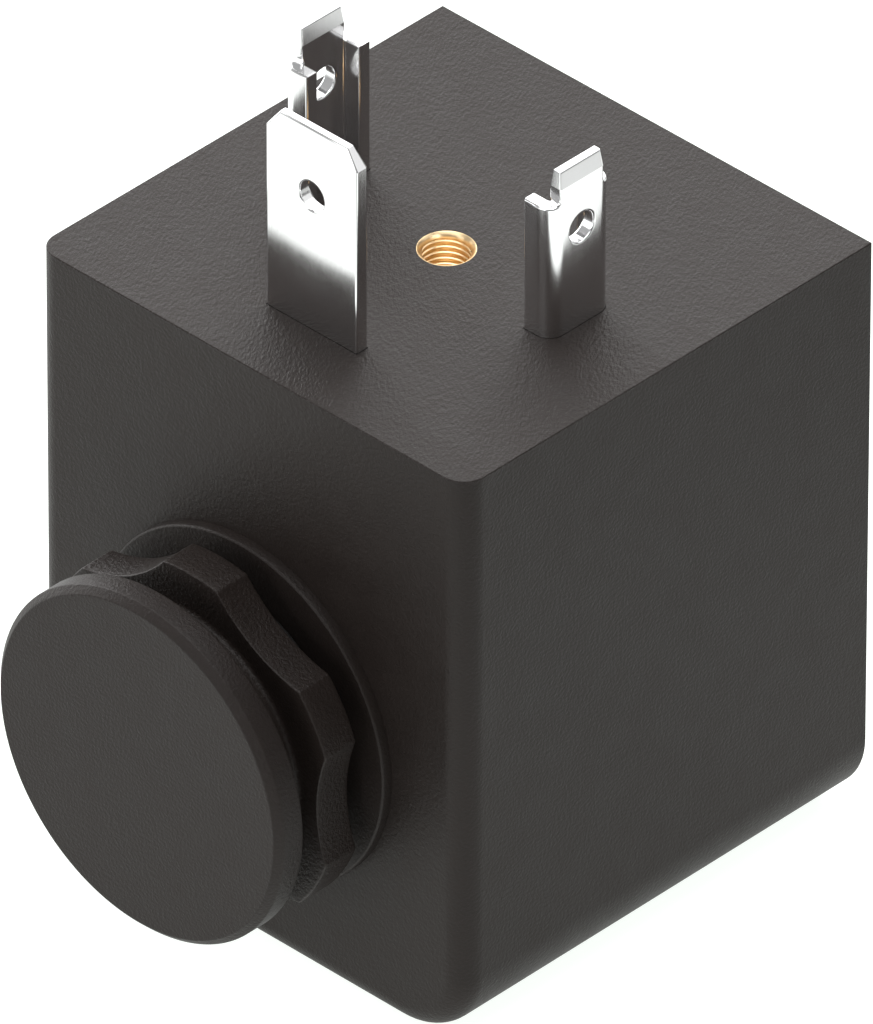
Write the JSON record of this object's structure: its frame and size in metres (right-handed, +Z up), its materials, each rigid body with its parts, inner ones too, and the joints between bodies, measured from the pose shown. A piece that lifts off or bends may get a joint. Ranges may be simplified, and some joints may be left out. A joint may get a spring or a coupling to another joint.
{
  "type": "solenoid valve coil",
  "caption": "Encapsulated solenoid valve coil with plug contacts on top, a bore for the armature tube and a scalloped nut that screws off the front.",
  "frame": {"origin": "centre of the armature tube bore in the rear face, which meets the valve", "axes": "+Y out of the rear face along the bore; +Z up, the way the plug contacts point; +X to the right seen from the nut"},
  "size_m": [0.03, 0.0376, 0.0476],
  "materials": {
    "housing_plastic": "fine moulded grain, black",
    "nut_plastic": "moulded grain, black",
    "cover_plastic": "fine moulded grain, black",
    "tinned_contact": "bright tin plate",
    "insert_brass": "turned brass",
    "spool_plastic": "natural polyamide",
    "carrier_plastic": "dark grey polyamide",
    "winding_copper": "enamelled copper wire",
    "lead_copper": "enamelled copper wire",
    "tape_film": "amber polyester film",
    "yoke_steel": "zinc plated soft iron",
    "bush_steel": "turned soft iron",
    "rivet_steel": "plated steel",
    "solder": "solder",
    "seal_rubber": "nitrile rubber"
  },
  "bodies": {
    "coil": {"housing": "housing_plastic", "bobbin": "spool_plastic", "winding": "winding_copper", "winding_tape": "tape_film", "yoke_frame": "yoke_steel", "yoke_plate": "yoke_steel", "flux_bush_front": "bush_steel", "flux_bush_rear": "bush_steel", "contact_left": "tinned_contact", "contact_right": "tinned_contact", "earth_blade": "tinned_contact", "earth_rivet": "rivet_steel", "terminal_carrier": "carrier_plastic", "plug_insert": "insert_brass", "lead_start": "lead_copper", "lead_finish": "lead_copper", "solder_joints": "solder", "seal_rear": "seal_rubber"},
    "seal_ring": {"seal_front": "seal_rubber"},
    "coil_nut": {"nut": "nut_plastic", "nut_cover": "cover_plastic"}
  },
  "joints": [
    {"name": "nut_travel", "type": "slide", "parent": "coil", "child": "seal_ring", "axis": [0, -1, 0], "range_m": [0, 0.005]},
    {"name": "nut_turn", "type": "hinge", "parent": "seal_ring", "child": "coil_nut", "pos_m": [0, -0.03155, 0], "axis": [0, -1, 0], "range_deg": [0, 1800]}
  ],
  "couplings": [
    {"joint": "nut_turn", "follows": "nut_travel", "rad_per_m": 6283.2}
  ]
}
